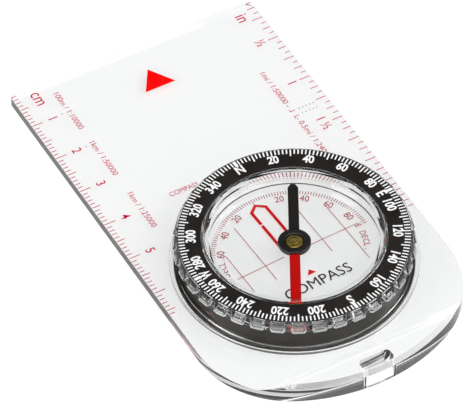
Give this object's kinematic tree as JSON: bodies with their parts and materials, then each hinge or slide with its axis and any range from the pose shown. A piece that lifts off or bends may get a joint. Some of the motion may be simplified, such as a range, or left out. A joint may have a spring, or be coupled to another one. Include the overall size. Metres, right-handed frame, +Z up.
{
  "type": "baseplate compass",
  "caption": "Clear rectangular plate with a rounded, thickened rear end, carrying a turning degree dial with a liquid capsule and a pivoted needle.",
  "frame": {"origin": "middle of the plate's bounding box, on its underside", "axes": "+Y along the direction of travel, +Z up out of the dial, +X towards the inch scale"},
  "size_m": [0.054, 0.0982, 0.0103],
  "materials": {
    "clear_acrylic": "polished clear plastic",
    "black_moulding": "satin black",
    "black_scale": "printed black with white figures",
    "painted_steel": "smooth enamel",
    "brass": "turned brass",
    "hard_steel": "ground steel",
    "jewel": "polished"
  },
  "bodies": {
    "plate": {"base_plate": "clear_acrylic", "retaining_ring": "clear_acrylic"},
    "dial": {"dial_carrier": "black_moulding", "grip_ring": "clear_acrylic", "numeral_ring": "black_scale", "capsule_cup": "clear_acrylic", "capsule_lid": "clear_acrylic", "filler_plug": "clear_acrylic", "pivot_pin": "hard_steel"},
    "needle": {"needle_blade": "painted_steel", "hub_base": "black_moulding", "hub_collar": "black_moulding", "bearing_cap": "brass", "jewel_bearing": "jewel"}
  },
  "joints": [
    {"name": "dial_turn", "type": "hinge", "parent": "plate", "child": "dial", "pos_m": [0, -0.0164, 0.002], "axis": [0, 0, 1], "continuous": true},
    {"name": "needle_swing", "type": "hinge", "parent": "dial", "child": "needle", "pos_m": [0, -0.0164, 0.005], "axis": [0, 0, 1], "continuous": true}
  ]
}
